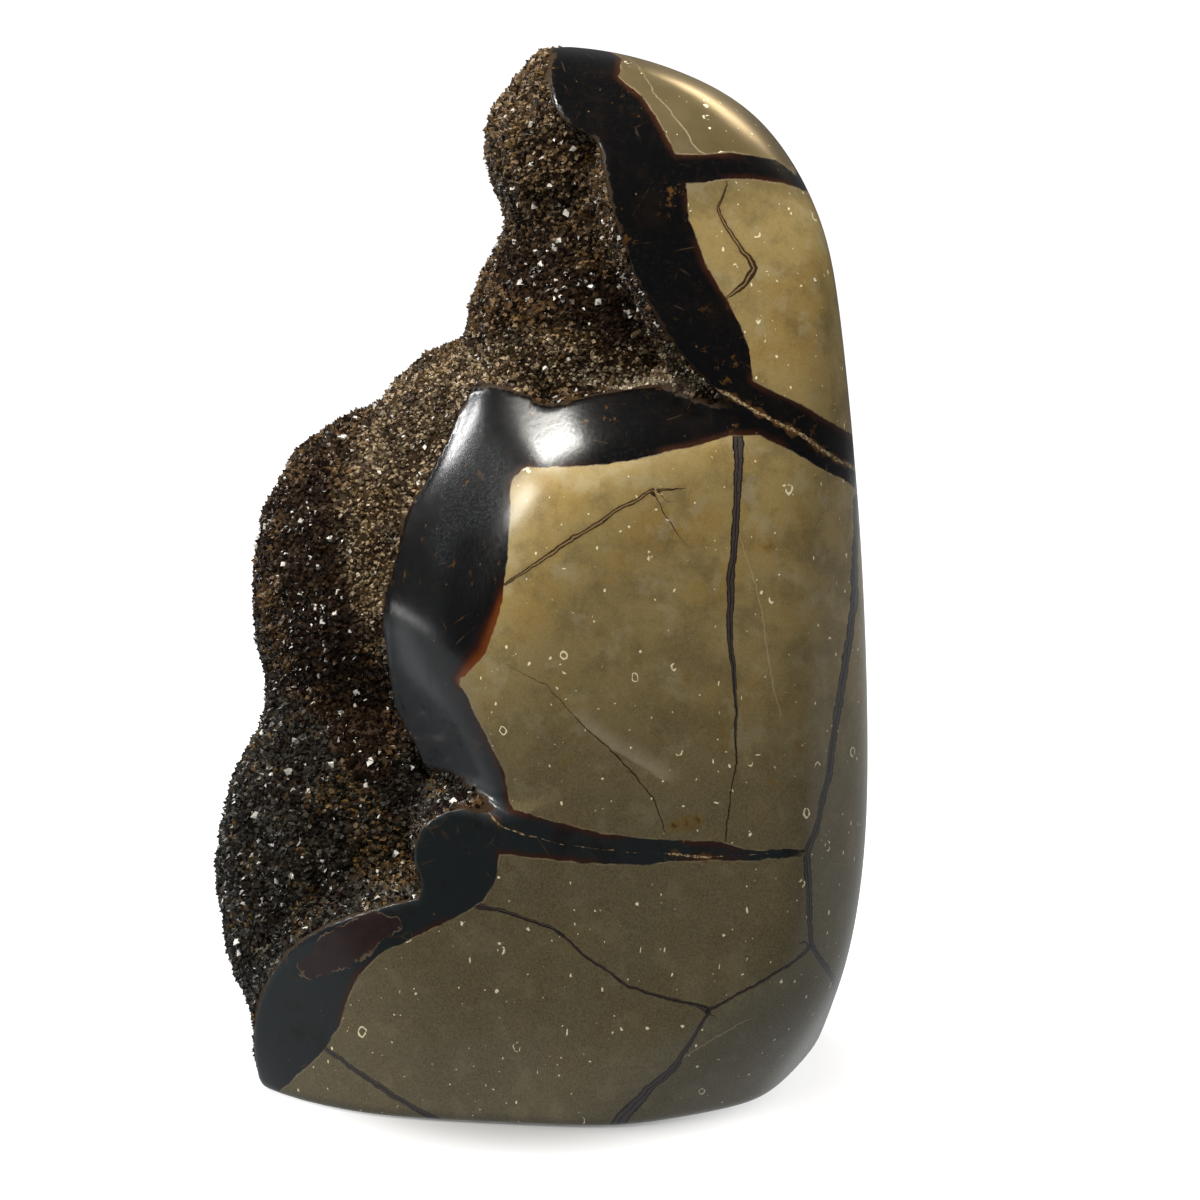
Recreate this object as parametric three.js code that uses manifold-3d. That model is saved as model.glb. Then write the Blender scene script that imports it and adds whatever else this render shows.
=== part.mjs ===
// A septarian nodule, sawn and polished into a standing freeform. Clay-limestone blocks
// are parted by calcite-filled cracks. Down the left side the cracks stay open, and their
// walls carry a rough druse of small calcite crystals.
//
// Millimetres, +Z up, front towards -Y, origin at the middle of the flat base.

import * as THREE from 'three';
import { mergeVertices } from 'three/addons/utils/BufferGeometryUtils.js';
import Module from 'manifold-3d';

const wasm = await Module();
wasm.setup();

// ---------------------------------------------------------------- driving dimensions

const CENTRE = new THREE.Vector3(7.1, -0.8, 72);
const HALF_WIDTH = 54;
const HALF_DEPTH = 34;
const TALLEST = 157;
const BASE_ROUNDING = 4.5;
const BASE_SAW_DEPTH = 0.2;

const FACET_SHARPNESS = 0.55;
const LOBE_BLEND = 3;
const RIM_ROUNDING = 1.5;

const STONE_CELL = 5.2;
const CRUST_CELL = 4.4;

const CRUST_THICKNESS = 2.5;
const CRUST_GAP = 0.35;
const CREASE_GAP = 0.25;
const CRUST_EDGE = 1.5;
const CRUST_FOOT = 3;
const HIDDEN_DEPTH = 3;
const CRYSTAL_TALLEST = 1.9;
const CRYSTAL_SHORTEST = 0.7;
const CRYSTAL_LEAN = 0.9;
const VALLEY_DEPTH = 0.5;

// Polished facets. Azimuth 0 faces the front and 90 the right; offset is from CENTRE.
const FACETS = {
  front: { azimuth: 5, elevation: 3, offset: 32.0 },
  frontLow: { azimuth: -9, elevation: -1, offset: 32.6 },
  frontTop: { azimuth: 8, elevation: 15, offset: 37.8 },
  rightFront: { azimuth: 50, elevation: 2, offset: 42.7 },
  right: { azimuth: 92, elevation: 1, offset: 42.4 },
  rightUp: { azimuth: 92, elevation: 8, offset: 43.3 },
  rightHigh: { azimuth: 90, elevation: 29, offset: 60.4 },
  crownRight: { azimuth: 86, elevation: 48, offset: 71.7 },
  crown: { azimuth: 80, elevation: 69, offset: 78.4 },
  crownFront: { azimuth: 52, elevation: 46, offset: 68.5 },
  top: { azimuth: 0, elevation: 87, offset: 82.0 },
  topFront: { azimuth: 0, elevation: 48, offset: 63.3 },
  footRight: { azimuth: 84, elevation: -12, offset: 51.4 },
  toeRight: { azimuth: 70, elevation: -34, offset: 66.9 },
  toeFront: { azimuth: 30, elevation: -30, offset: 63.1 },
  toeLeft: { azimuth: -62, elevation: -20, offset: 68.0 },
  back: { azimuth: 180, elevation: 3, offset: 30.7 },
  backTop: { azimuth: 178, elevation: 20, offset: 42.1 },
  backRight: { azimuth: 130, elevation: 0, offset: 41.8 },
  backLeft: { azimuth: -140, elevation: 0, offset: 51.5 },
};

// The nodule's blocks. Lobes are the rounded crack walls; rims are chamfers of one block.
const BLOCKS = {
  upper: {
    rims: {},
    lobes: [
      { at: [8.3, 4.2, 139.2], radii: [15, 17, 15.5] },
      { at: [10.7, 1.2, 146.5], radii: [9, 24, 8.5] },
      { at: [18.4, 9.2, 122.1], radii: [22, 23, 30] },
      { at: [8.9, 8.2, 111.1], radii: [18, 22, 20] },
      { at: [48.4, -2.8, 139.1], radii: [40, 54, 47] },
    ],
  },
  main: {
    rims: {
      high: { azimuth: -58, elevation: 18, offset: 27.2 },
      middle: { azimuth: -50, elevation: -14, offset: 31.5 },
      top: { azimuth: -14, elevation: 50, offset: 36.6 },
      corner: { azimuth: -38, elevation: 40, offset: 32.8 },
      edge: { azimuth: -27, elevation: 8, offset: 31.4 },
      strip: { azimuth: -74, elevation: 30, offset: 30.2 },
    },
    lobes: [
      { at: [25.2, -6.8, 69.9], radii: [50, 58, 39] },
      { at: [-11, -2.8, 70.9], radii: [15.5, 34, 16.5] },
      { at: [-4.9, -2.8, 87.2], radii: [12.5, 34, 17.5] },
      { at: [37, -4.8, 97.8], radii: [13, 50, 9] },
    ],
  },
  ridge: {
    rims: {},
    lobes: [
      { at: [-5.2, 11.2, 89.7], radii: [22, 20, 21] },
      { at: [-21.6, 13.2, 80], radii: [17, 17, 20] },
    ],
  },
  shoulder: {
    rims: {},
    lobes: [{ at: [-23.1, 11.2, 70.4], radii: [20.6, 21, 28.5] }],
  },
  foot: {
    rims: {},
    lobes: [{ at: [-25.1, 7.2, 27.4], radii: [23.8, 23, 34] }],
  },
  sill: {
    rims: { low: { azimuth: -35, elevation: 0, offset: 39.9 } },
    lobes: [
      { at: [8.9, -6.8, 27.9], radii: [27, 50, 22] },
      { at: [-8.8, -4.8, 39.6], radii: [9, 50, 8.4] },
      { at: [-5.1, -5.8, 7.7], radii: [37, 52, 30] },
      { at: [34.3, -5.8, 14.7], radii: [50, 56, 45] },
    ],
  },
};

// ---------------------------------------------------------------- distance functions

function plane({ azimuth, elevation, offset }) {
  const a = THREE.MathUtils.degToRad(azimuth);
  const e = THREE.MathUtils.degToRad(elevation);
  const normal = new THREE.Vector3(
    Math.cos(e) * Math.sin(a),
    -Math.cos(e) * Math.cos(a),
    Math.sin(e),
  );
  return new THREE.Plane(normal, -offset - normal.dot(CENTRE));
}

function lobe({ at, radii }) {
  return { centre: new THREE.Vector3(...at), radii: new THREE.Vector3(...radii) };
}

const envelope = Object.values(FACETS).map(plane);
const blocks = Object.values(BLOCKS).map(({ rims, lobes }) => ({
  planes: [...envelope, ...Object.values(rims).map(plane)],
  lobes: lobes.map(lobe),
}));

const smoothMin = (a, b, width) => {
  const near = Math.max(width - Math.abs(a - b), 0) / width;
  return Math.min(a, b) - near * near * width * 0.25;
};
const smoothMax = (a, b, width) => -smoothMin(-a, -b, width);
const ramp = (value) => THREE.MathUtils.smoothstep(value, 0, 1);

// Distance to the rounded solid inside all the planes.
function facetDistance(point, planes) {
  const distances = planes.map((face) => face.distanceToPoint(point));
  const farthest = Math.max(...distances);
  const sum = distances.reduce(
    (total, distance) => total + Math.exp(FACET_SHARPNESS * (distance - farthest)),
    0,
  );
  return farthest + Math.log(sum) / FACET_SHARPNESS;
}

function lobeDistance(point, { centre, radii }) {
  const from = point.clone().sub(centre);
  const once = from.clone().divide(radii);
  const twice = once.clone().divide(radii);
  return (once.length() * (once.length() - 1)) / Math.max(twice.length(), 1e-9);
}

// The nodule at a point: its distance, and how far the crack walls lie inside the polish.
function nodule(point) {
  const polished = facetDistance(point, envelope);
  let joined = 4 * TALLEST;
  let openness = 0;
  for (const block of blocks) {
    const faces = facetDistance(point, block.planes);
    const walls = block.lobes
      .map((each) => lobeDistance(point, each))
      .reduce((a, b) => smoothMin(a, b, LOBE_BLEND));
    const solid = smoothMax(faces, walls, RIM_ROUNDING);
    const share = THREE.MathUtils.clamp(0.5 + (joined - solid) / (2 * LOBE_BLEND), 0, 1);
    openness = THREE.MathUtils.lerp(openness, walls - faces, share);
    joined = smoothMin(joined, solid, LOBE_BLEND);
  }
  const whole = Math.max(polished, joined);
  const distance = smoothMax(whole, -point.z - BASE_SAW_DEPTH, BASE_ROUNDING);
  return { distance, openness };
}

// The stone lies lower where the crust covers it.
function stoneField(point) {
  const { distance, openness } = nodule(point);
  const covered = ramp(openness / CRUST_EDGE) * ramp(point.z / CRUST_FOOT - 1);
  return distance + CRUST_THICKNESS * covered;
}

// The crust's outside follows the nodule over open walls, and dives elsewhere.
function crustField(point) {
  const { distance, openness } = nodule(point);
  const shown = ramp(openness / CRUST_EDGE + 1) * ramp(point.z / CRUST_FOOT);
  return distance + HIDDEN_DEPTH * (1 - shown);
}

function gradient(field, point) {
  const step = 0.02;
  const axes = ['x', 'y', 'z'];
  const slope = new THREE.Vector3();
  for (const axis of axes) {
    const ahead = point.clone();
    const behind = point.clone();
    ahead[axis] += step;
    behind[axis] -= step;
    slope[axis] = (field(ahead) - field(behind)) / (2 * step);
  }
  return slope;
}

// ---------------------------------------------------------------- surface of a field

// Moves a point onto the field's zero level, without leaving its cell.
function settle(field, start, low, high) {
  const point = start.clone();
  for (let pass = 0; pass < 5; pass += 1) {
    const slope = gradient(field, point);
    point.addScaledVector(slope, -field(point) / Math.max(slope.lengthSq(), 0.05));
    point.clamp(low, high);
  }
  return point;
}

// A cell's corners, numbered by bits, and its edges, each a corner and the axis it runs along.
const CORNERS = [0, 1, 2, 3, 4, 5, 6, 7].map((bits) => [0, 1, 2].map((axis) => (bits >> axis) & 1));
const EDGES = [0, 1, 2].flatMap((axis) =>
  CORNERS.flatMap((corner, bits) => (corner[axis] ? [] : [{ axis, from: bits, to: bits | (1 << axis) }])),
);
const EDGE_KEYS = 24;
const edgeKey = (axis, from) => axis * CORNERS.length + from;

// Groups a cell's crossed edges by the sheets of surface that pass through it.
function sheets(inside) {
  const crossed = EDGES.filter(({ from, to }) => inside[from] !== inside[to]);
  const sheetOf = new Map(crossed.map((edge, number) => [edge, number]));
  const join = ([first, second]) => {
    const [kept, gone] = [sheetOf.get(first), sheetOf.get(second)];
    for (const [edge, number] of sheetOf) if (number === gone) sheetOf.set(edge, kept);
  };
  for (let axis = 0; axis < 3; axis += 1) {
    for (const side of [0, 1]) {
      const onFace = crossed.filter(
        (edge) => edge.axis !== axis && CORNERS[edge.from][axis] === side,
      );
      if (onFace.length === 2) join(onFace);
      if (onFace.length === 4) {
        CORNERS.forEach((corner, bits) => {
          if (corner[axis] === side && inside[bits]) {
            join(onFace.filter(({ from, to }) => from === bits || to === bits));
          }
        });
      }
    }
  }
  const numbers = [...new Set(sheetOf.values())];
  return numbers.map((number) => crossed.filter((edge) => sheetOf.get(edge) === number));
}

// Surface nets: one vertex for each sheet of surface in a cell, one quad per crossed edge.
function surfaceNet(field, cell) {
  const low = new THREE.Vector3(CENTRE.x - HALF_WIDTH, CENTRE.y - HALF_DEPTH, 0);
  const high = new THREE.Vector3(CENTRE.x + HALF_WIDTH, CENTRE.y + HALF_DEPTH, TALLEST);
  low.subScalar(2 * cell);
  high.addScalar(cell);
  const count = high.clone().sub(low).divideScalar(cell).ceil();
  const strides = [1, count.x + 1, (count.x + 1) * (count.y + 1)];
  const place = (i, j, k) => new THREE.Vector3(i, j, k).multiplyScalar(cell).add(low);
  const index = (i, j, k) => i * strides[0] + j * strides[1] + k * strides[2];
  const cornerOffset = CORNERS.map((corner) => index(...corner));

  const values = new Float64Array(strides[2] * (count.z + 1));
  for (let k = 0; k <= count.z; k += 1) {
    for (let j = 0; j <= count.y; j += 1) {
      for (let i = 0; i <= count.x; i += 1) {
        values[index(i, j, k)] = field(place(i, j, k));
      }
    }
  }

  const points = [];
  const vertexOf = new Map();
  for (let k = 0; k < count.z; k += 1) {
    for (let j = 0; j < count.y; j += 1) {
      for (let i = 0; i < count.x; i += 1) {
        const here = index(i, j, k);
        const corners = CORNERS.map(([x, y, z]) => place(i + x, j + y, k + z));
        const found = cornerOffset.map((offset) => values[here + offset]);
        for (const sheet of sheets(found.map((value) => value < 0))) {
          const mean = new THREE.Vector3();
          for (const { axis, from, to } of sheet) {
            const share = found[from] / (found[from] - found[to]);
            mean.addScaledVector(corners[from].clone().lerp(corners[to], share), 1 / sheet.length);
            vertexOf.set(here * EDGE_KEYS + edgeKey(axis, from), points.length);
          }
          points.push(settle(field, mean, corners[0], corners[7]));
        }
      }
    }
  }

  const quads = [];
  for (let k = 1; k < count.z; k += 1) {
    for (let j = 1; j < count.y; j += 1) {
      for (let i = 1; i < count.x; i += 1) {
        const here = index(i, j, k);
        const inside = values[here] < 0;
        for (let axis = 0; axis < 3; axis += 1) {
          if (inside !== values[here + strides[axis]] < 0) {
            const [u, v] = [(axis + 1) % 3, (axis + 2) % 3];
            const ring = [[1, 1], [0, 1], [0, 0], [1, 0]].map(([backU, backV]) => {
              const cellIndex = here - backU * strides[u] - backV * strides[v];
              const from = (backU << u) | (backV << v);
              return vertexOf.get(cellIndex * EDGE_KEYS + edgeKey(axis, from));
            });
            quads.push(inside ? ring : ring.reverse());
          }
        }
      }
    }
  }
  return { points, quads };
}

// ---------------------------------------------------------------- solids

function solidOf(points, triangles) {
  const loose = new THREE.BufferGeometry();
  loose.setAttribute(
    'position',
    new THREE.Float32BufferAttribute(points.flatMap((point) => point.toArray()), 3),
  );
  loose.setIndex(triangles.flat());
  return solidFrom(loose);
}

function solidFrom(geometry) {
  const bare = geometry.clone();
  bare.deleteAttribute('normal');
  bare.deleteAttribute('uv');
  const merged = mergeVertices(bare, 1e-4);
  return new wasm.Manifold(
    new wasm.Mesh({
      numProp: 3,
      vertProperties: merged.attributes.position.array,
      triVerts: new Uint32Array(merged.index.array),
    }),
  );
}

function geometryOf(solid) {
  const { vertProperties, triVerts } = solid.getMesh();
  const geometry = new THREE.BufferGeometry();
  geometry.setAttribute('position', new THREE.BufferAttribute(vertProperties, 3));
  geometry.setIndex(new THREE.BufferAttribute(triVerts, 1));
  geometry.computeVertexNormals();
  return geometry;
}

// Splits a quad along the diagonal that folds it least.
function halves(points, [a, b, c, d]) {
  const fold = ([first, second]) => {
    const [u, v] = [first, second].map((corners) => {
      const [p, q, r] = corners.map((corner) => points[corner]);
      return q.clone().sub(p).cross(r.clone().sub(p)).normalize();
    });
    return 1 - u.dot(v);
  };
  const acrossAC = [[a, b, c], [a, c, d]];
  const acrossBD = [[a, b, d], [b, c, d]];
  return fold(acrossAC) < fold(acrossBD) ? acrossAC : acrossBD;
}

const faces = (net) => net.quads.flatMap((quad) => halves(net.points, quad));

// The net's points moved outwards, so that every triangle moves by about the distance.
function offsetPoints(points, triangles, distance) {
  const around = points.map(() => []);
  for (const triangle of triangles) {
    const [a, b, c] = triangle.map((corner) => points[corner]);
    const normal = b.clone().sub(a).cross(c.clone().sub(a));
    for (const corner of triangle) around[corner].push(normal);
  }
  return points.map((point, each) => {
    const out = around[each].reduce((sum, n) => sum.add(n), new THREE.Vector3()).normalize();
    const steepest = Math.min(...around[each].map((n) => n.dot(out) / n.length()));
    return point.clone().addScaledVector(out, distance / Math.max(steepest, 0.5));
  });
}

// All that lies below the flat base.
function belowBase() {
  const block = new THREE.BoxGeometry(4 * HALF_WIDTH, 4 * HALF_DEPTH, TALLEST);
  block.translate(CENTRE.x, CENTRE.y, -TALLEST / 2);
  return solidFrom(block);
}

// The same small sequence of random numbers on every run.
function seeded(seed) {
  let state = seed;
  return () => {
    state = (state * 1664525 + 1013904223) % 4294967296;
    return state / 4294967296;
  };
}

// Raises one flat-faced crystal on every quad of the open walls.
function crystallised(net) {
  const random = seeded(7);
  const slopes = net.points.map((point) => gradient(crustField, point).normalize());
  const open = net.points.map(
    (point) => nodule(point).openness > CRUST_EDGE && point.z > 2 * CRUST_FOOT,
  );
  const points = net.points.map((point, each) =>
    open[each] ? point.clone().addScaledVector(slopes[each], -VALLEY_DEPTH) : point,
  );
  const triangles = [];
  for (const quad of net.quads) {
    if (quad.every((corner) => open[corner])) {
      const tip = new THREE.Vector3();
      const up = new THREE.Vector3();
      for (const corner of quad) {
        tip.addScaledVector(points[corner], 1 / quad.length);
        up.add(slopes[corner]);
      }
      up.normalize();
      const lean = new THREE.Vector3(random() - 0.5, random() - 0.5, random() - 0.5);
      const height = THREE.MathUtils.lerp(CRYSTAL_SHORTEST, CRYSTAL_TALLEST, random());
      tip.addScaledVector(lean.projectOnPlane(up), 2 * CRYSTAL_LEAN);
      tip.addScaledVector(up, height);
      points.push(tip);
      const apex = points.length - 1;
      quad.forEach((corner, side) => {
        triangles.push([corner, quad[(side + 1) % quad.length], apex]);
      });
    } else {
      triangles.push(...halves(points, quad));
    }
  }
  return solidOf(points, triangles);
}

const largestPiece = (solid) =>
  solid.decompose().reduce((a, b) => (a.volume() > b.volume() ? a : b));

const stoneNet = surfaceNet(stoneField, STONE_CELL);

// ---------------------------------------------------------------- pieces

// The polished nodule: clay limestone with calcite veins, flush with each other.
function stone() {
  const solid = solidOf(stoneNet.points, faces(stoneNet)).subtract(belowBase());
  const material = new THREE.MeshStandardMaterial({
    color: 0x6f6650,
    roughness: 0.18,
    metalness: 0,
  });
  const mesh = new THREE.Mesh(geometryOf(largestPiece(solid)), material);
  mesh.name = 'stone';
  return mesh;
}

// The crust of crystals on the open crack walls.
function druse() {
  const cover = faces(stoneNet);
  const bed = solidOf(stoneNet.points, cover);
  let crust = crystallised(surfaceNet(crustField, CRUST_CELL));
  crust = crust.subtract(solidOf(offsetPoints(stoneNet.points, cover, CRUST_GAP), cover));
  for (const axis of [0, 1, 2]) {
    for (const side of [-1, 1]) {
      const nudge = [0, 0, 0];
      nudge[axis] = side * CREASE_GAP;
      crust = crust.subtract(bed.translate(nudge));
    }
  }
  const material = new THREE.MeshStandardMaterial({
    color: 0x3a2a20,
    roughness: 0.3,
    metalness: 0,
  });
  const mesh = new THREE.Mesh(geometryOf(largestPiece(crust)), material);
  mesh.name = 'druse';
  return mesh;
}

const group = new THREE.Group();
group.add(stone());
group.add(druse());

export default group;
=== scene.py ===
"""A polished septarian nodule standing on a pale floor.

Shapes are worked out in millimetres, in the frame of the solids, and become metres when a mesh
is made. Azimuth 0 faces the front (-Y) and 90 the right (+X).
"""

import bpy
import numpy as np
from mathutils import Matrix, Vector


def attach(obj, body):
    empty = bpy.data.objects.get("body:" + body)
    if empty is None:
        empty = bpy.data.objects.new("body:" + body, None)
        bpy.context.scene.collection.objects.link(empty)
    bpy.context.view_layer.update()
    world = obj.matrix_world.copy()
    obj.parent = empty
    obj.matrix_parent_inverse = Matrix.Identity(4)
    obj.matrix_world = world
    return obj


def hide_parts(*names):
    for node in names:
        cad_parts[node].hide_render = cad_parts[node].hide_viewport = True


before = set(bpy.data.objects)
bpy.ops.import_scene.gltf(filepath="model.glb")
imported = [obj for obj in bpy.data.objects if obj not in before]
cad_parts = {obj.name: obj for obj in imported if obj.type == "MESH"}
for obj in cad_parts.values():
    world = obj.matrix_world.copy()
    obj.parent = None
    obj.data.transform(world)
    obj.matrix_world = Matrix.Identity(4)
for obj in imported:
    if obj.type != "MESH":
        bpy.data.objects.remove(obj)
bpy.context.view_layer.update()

MM = 0.001
FAR = 1e3  # further than any distance on the nodule

# ------------------------ the form

CENTRE = np.array([7.1, -0.8, 72.0])

# Facets meet in softer edges where the sharpness is lower; the other joins have rounding widths.
FACET_SHARPNESS = 0.55
LARGEST_EXPONENT = 60
LOBE_BLEND = 3.0
RIM_ROUNDING = 0.5
BASE_ROUNDING = 1.5

# Polished facets: azimuth, elevation, offset from CENTRE.
FACETS = {
    "front": (5, 3, 32.0),
    "front_low": (-9, -1, 32.6),
    "front_top": (8, 15, 37.8),
    "right_front": (50, 2, 42.7),
    "right": (92, 1, 42.4),
    "right_up": (92, 8, 43.3),
    "right_high": (90, 29, 60.4),
    "crown_right": (86, 48, 71.7),
    "crown": (80, 69, 78.4),
    "crown_front": (52, 46, 68.5),
    "top": (0, 87, 82.0),
    "top_front": (0, 48, 63.3),
    "foot_right": (84, -12, 51.4),
    "toe_right": (70, -34, 66.9),
    "toe_front": (30, -30, 63.1),
    "toe_left": (-62, -20, 70.2),
    "back": (180, 3, 30.7),
    "back_top": (178, 20, 42.1),
    "back_right": (130, 0, 41.8),
    "back_left": (-140, 0, 51.5),
}

# Facets that two of the blocks have of their own, at the rims of their walls.
RIMS = {
    "main": {
        "high": (-52, 18, 27.5),
        "middle": (-58.5, -12, 29.5),
        "top": (-14, 50, 36.6),
        "corner": (-38, 40, 32.8),
        "edge": (-27, 8, 31.4),
        "strip": (-74, 30, 31.4),
    },
    "sill": {"low": (-35, 0, 39.9)},
}

# Blocks of the nodule, which lobes round off: centre, radii.
BLOCKS = {
    "upper": [
        ((8.3, 4.2, 139.2), (15, 17, 15.5)),
        ((10.7, 1.2, 146.5), (9, 24, 8)),
        ((18.4, 9.2, 122.1), (22.8, 23, 30)),
        ((8.9, 8.2, 111.1), (19.2, 22, 20)),
        ((48.4, -2.8, 139.1), (40, 54, 47)),
    ],
    "main": [
        ((25.2, -6.8, 69.9), (50, 58, 37.6)),
        ((-12.5, -2.8, 69.8), (18, 34, 15.5)),
        ((-7.6, -2.8, 88.2), (15.4, 34, 19.6)),
        ((37, -4.8, 97.8), (13, 50, 9)),
    ],
    "ridge": [((-5.2, 12.2, 89.7), (22, 20, 21)), ((-21.6, 14.2, 80), (17, 17, 19.2))],
    "shoulder": [((-23.1, 13.7, 70.4), (20.3, 21, 28.5)), ((-29.3, 11.2, 54.6), (12.2, 16, 9))],
    "foot": [((-25.1, 7.2, 27.4), (23.8, 23, 34))],
    "sill": [
        ((8.9, -6.8, 27.9), (27, 50, 22)),
        ((-8.8, -4.8, 39.6), (9, 50, 8.4)),
        ((-5.1, -5.8, 7.7), (37, 52, 30)),
        ((34.3, -5.8, 14.7), (50, 56, 45)),
    ],
}


def outward(azimuth, elevation):
    """The unit vector that points away from the nodule at these angles."""
    a, e = np.radians(azimuth), np.radians(elevation)
    return np.array([np.cos(e) * np.sin(a), -np.cos(e) * np.cos(a), np.sin(e)])


def smooth_min(a, b, width):
    """The smaller of two distances, with their join rounded over the width."""
    near = np.maximum(width - np.abs(a - b), 0) / width
    return np.minimum(a, b) - near * near * width * 0.25


def smooth_max(a, b, width):
    return -smooth_min(-a, -b, width)


def ramp(value, start, end):
    """0 at start and 1 at end, smoothly."""
    t = np.clip((value - start) / (end - start), 0, 1)
    return t * t * (3 - 2 * t)


def facet_sum(points, facets):
    """Sum of exponentials of the distances past each facet, which rounds their edges."""
    total = 0
    for azimuth, elevation, offset in facets.values():
        distance = (points - CENTRE) @ outward(azimuth, elevation) - offset
        exponent = np.clip(FACET_SHARPNESS * distance, -LARGEST_EXPONENT, LARGEST_EXPONENT)
        total = total + np.exp(exponent)
    return total


def lobe_distance(points, centre, radii):
    """Roughly the distance to an ellipsoid."""
    once = (points - np.array(centre)) / np.array(radii, float)
    twice = once / np.array(radii, float)
    length = np.linalg.norm(once, axis=-1)
    return length * (length - 1) / np.maximum(np.linalg.norm(twice, axis=-1), 1e-9)


def nodule(points):
    """Distance to the nodule, and how far the crack walls lie inside the polish."""
    envelope = facet_sum(points, FACETS)
    polished = np.log(envelope) / FACET_SHARPNESS
    joined = np.full(points.shape[:-1], FAR)
    openness = np.zeros(points.shape[:-1])
    for name, lobes in BLOCKS.items():
        faces = polished
        if name in RIMS:
            faces = np.log(envelope + facet_sum(points, RIMS[name])) / FACET_SHARPNESS
        walls = lobe_distance(points, *lobes[0])
        for lobe in lobes[1:]:
            walls = smooth_min(walls, lobe_distance(points, *lobe), LOBE_BLEND)
        solid = smooth_max(faces, walls, RIM_ROUNDING)
        share = np.clip(0.5 + (joined - solid) / (2 * LOBE_BLEND), 0, 1)
        openness = openness + (walls - faces - openness) * share
        joined = smooth_min(joined, solid, LOBE_BLEND)
    whole = np.maximum(polished, joined)
    return smooth_max(whole, -points[..., 2], BASE_ROUNDING), openness


# Random values on a lattice that repeats, for lumps in the crust and wobble in the veins.
LATTICE = 32
lattice = np.random.default_rng(11).random((LATTICE, LATTICE, LATTICE))


def lumps(points, wavelength, seed=0.0):
    """Smooth noise from -1 to 1."""
    at = points / wavelength + seed
    low = np.floor(at).astype(int)
    part = at - low
    part = part * part * (3 - 2 * part)
    total = 0
    for corner in range(8):
        bits = np.array([corner & 1, corner >> 1 & 1, corner >> 2 & 1])
        weight = np.prod(np.where(bits, part, 1 - part), axis=-1)
        cell = (low + bits) % LATTICE
        total = total + weight * lattice[cell[..., 0], cell[..., 1], cell[..., 2]]
    return 2 * total - 1


# The crust: the openness at which it starts and is whole, how ragged its edge is, and the heights
# between which it fades in above the base. Its bed is sunk further where the wall is more open.
CRUST_OPENNESS = (0.25, 1.05)
CRUST_RAGGEDNESS = 0.4
CRUST_FOOT = (1.5, 4.5)
BED_AT_EDGE = 0.25
BED_INSIDE = 0.5
BED_OPENNESS = (0.5, 5)
SWELL_HEIGHT = 0.7
SWELL_LENGTH = 7.0
LUMP_HEIGHT = 0.4
LUMP_LENGTH = 2.6


def crusted(points, openness):
    """1 on the open crack walls, 0 on the polish, with a ragged edge between."""
    ragged = openness + CRUST_RAGGEDNESS * lumps(points, 2.0, 6.1)
    return ramp(ragged, *CRUST_OPENNESS) * ramp(points[..., 2], *CRUST_FOOT)


def crust_relief(points):
    swell = SWELL_HEIGHT * lumps(points, SWELL_LENGTH)
    return swell + LUMP_HEIGHT * lumps(points, LUMP_LENGTH, 5.3)


def dressed(points):
    """The nodule with its crack walls sunk under the crust and made lumpy."""
    distance, openness = nodule(points)
    bed = BED_AT_EDGE + (BED_INSIDE - BED_AT_EDGE) * ramp(openness, *BED_OPENNESS)
    return distance + (bed - crust_relief(points)) * crusted(points, openness)


AXES = np.eye(3, dtype=int)


def slope(field, points, step=0.02):
    """Gradient of the field, from differences over twice the step."""
    columns = []
    for axis in AXES * step:
        columns.append((field(points + axis) - field(points - axis)) / (2 * step))
    return np.stack(columns, -1)


# The box that holds the nodule, and how its mesh settles on the surface.
BOX_LOW = np.array([-53.0, -37.0, -3.0])
BOX_HIGH = np.array([53.0, 37.0, 158.0])
SETTLING_STEPS = 4
LEAST_SQUARED_SLOPE = 0.05


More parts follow.
